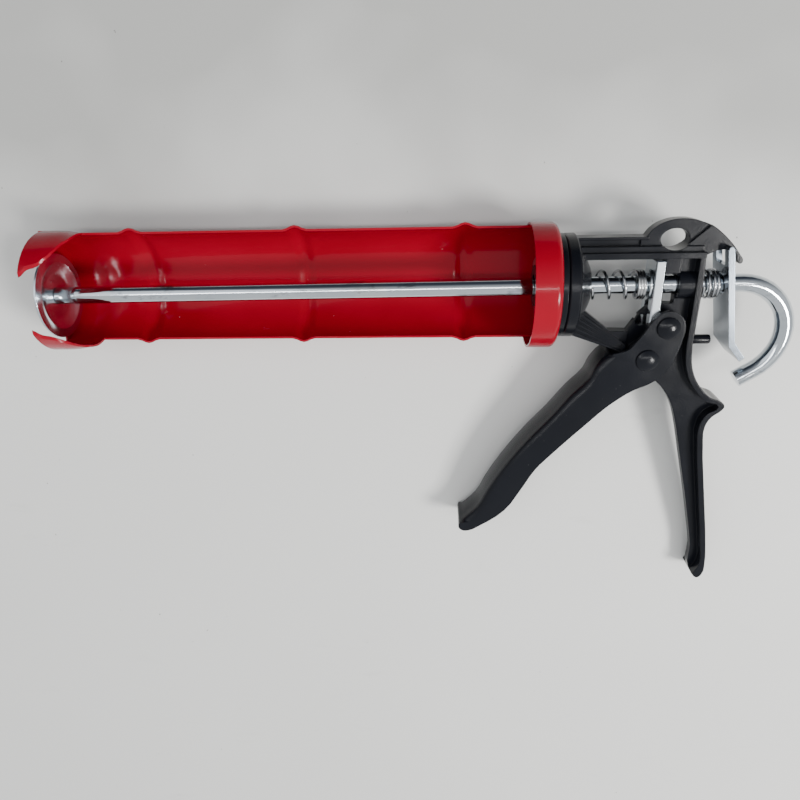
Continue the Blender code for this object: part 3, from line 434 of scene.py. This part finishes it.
def lay_table():
    work = bmesh.new()
    bmesh.ops.create_grid(work, x_segments=1, y_segments=1, size=HALF_A_TABLE)
    mesh = bpy.data.meshes.new("table")
    work.to_mesh(mesh)
    work.free()
    material, tree, shader, where = new_finish("pale table")
    grey, pale, painted_far_shade = (0.71, 0.71, 0.69), (0.79, 0.79, 0.77), (0.43, 0.43, 0.415)
    scuff_grey, speck_brown = (0.5, 0.49, 0.47), (0.16, 0.15, 0.14)
    cloud = noise(tree, where, scale=5, detail=4)
    board = blend_colours(tree, cloud, grey, pale)
    shade_towards_back = add_node(tree, "ShaderNodeSeparateXYZ", {"Vector": where}).outputs["Y"]
    wander = remap(tree, noise(tree, where, scale=6, detail=3), (0.3, 0.7), (-0.06, 0.06))
    shade_towards_back = calculate(tree, "ADD", shade_towards_back, wander)
    # painted shade: the board is blended to a darker grey towards the back, from y = 0.05 m to 0.17 m, along a
    # wandering edge
    board = blend_colours(tree, remap(tree, shade_towards_back, (0.05, 0.17), (0, 1)), board, painted_far_shade)
    scuffs = noise(tree, where, scale=40, detail=6, roughness=0.7, stretch=(0.3, 1, 1))
    scuffs = remap(tree, scuffs, (0.62, 0.8), (0, 0.35))
    board = blend_colours(tree, scuffs, board, scuff_grey)
    specks = remap(tree, noise(tree, where, scale=330, detail=2), (0.77, 0.79), (0, 0.7))
    board = blend_colours(tree, specks, board, speck_brown)
    wire(tree, shader, Base_Color=board)
    shader.inputs["Roughness"].default_value = 0.55
    mesh.materials.append(material)
    new_piece("table", mesh)
    print("the table reaches", max(point.co.x for point in mesh.vertices), "m to each side")


lay_table()

# %% Hang the lamps
WARM = (1.0, 0.985, 0.96)
COOL = (0.93, 0.96, 1.0)
WHITE = (1, 1, 1)


def lamp(name, place, target, size, power, colour):
    light = bpy.data.lights.new(name, "AREA")
    light.shape = "RECTANGLE"
    light.size, light.size_y = size
    light.energy = power
    light.color = colour
    hung = bpy.data.objects.new(name, light)
    hung.location = place
    hung.rotation_euler = (Vector(target) - Vector(place)).to_track_quat("-Z", "Y").to_euler()
    bpy.context.scene.collection.objects.link(hung)


lamp("key", (0.8, -0.3, 0.95), (0.02, 0, 0), size=(0.3, 0.3), power=17, colour=WARM)
lamp("tube", (0.05, 0.05, 1.2), (0.05, 0.05, 0), size=(1.5, 0.06), power=5, colour=WHITE)
lamp("fill", (-0.7, 0.4, 1.0), (0, 0, 0), size=(0.9, 0.9), power=2, colour=COOL)
print(len(bpy.data.lights), "lamps")


def light_room():
    """A pale ceiling towards the handle's side that falls off to a dim wall beyond the hanging ear."""
    world = bpy.data.worlds.new("room")
    world.use_nodes = True
    tree = world.node_tree
    where = add_node(tree, "ShaderNodeTexCoord").outputs["Generated"]
    towards_ear = add_node(tree, "ShaderNodeSeparateXYZ", {"Vector": where}).outputs["Y"]
    share = remap(tree, towards_ear, (-1, 1), (0, 1))
    shade = add_node(tree, "ShaderNodeValToRGB", {"Fac": share})
    ramp = shade.color_ramp.elements
    ramp[0].position, ramp[0].color = 0.2, (0.95, 0.97, 0.98, 1)
    ramp[1].position, ramp[1].color = 0.9, (0.06, 0.07, 0.09, 1)
    middle = ramp.new(0.6)
    middle.color = (0.85, 0.87, 0.89, 1)
    background = tree.nodes["Background"]
    tree.links.new(shade.outputs["Color"], background.inputs["Color"])
    background.inputs["Strength"].default_value = 0.86
    bpy.context.scene.world = world


light_room()

# %% Set up the camera
CAMERA_PLACE = (0.01343, 0.09287, 0.32788)
CAMERA_TURN = (-15.616, 3.353, -1.005)      # degrees about x, y and z
lens = bpy.data.cameras.new("camera")
lens.lens = 29.6
lens.sensor_width = 36
lens.clip_start = 0.01
camera = bpy.data.objects.new("camera", lens)
camera.location = CAMERA_PLACE
camera.rotation_euler = [math.radians(angle) for angle in CAMERA_TURN]
bpy.context.scene.collection.objects.link(camera)
bpy.context.scene.camera = camera
print("the camera stands", round(camera.location.z, 3), "m above the table")
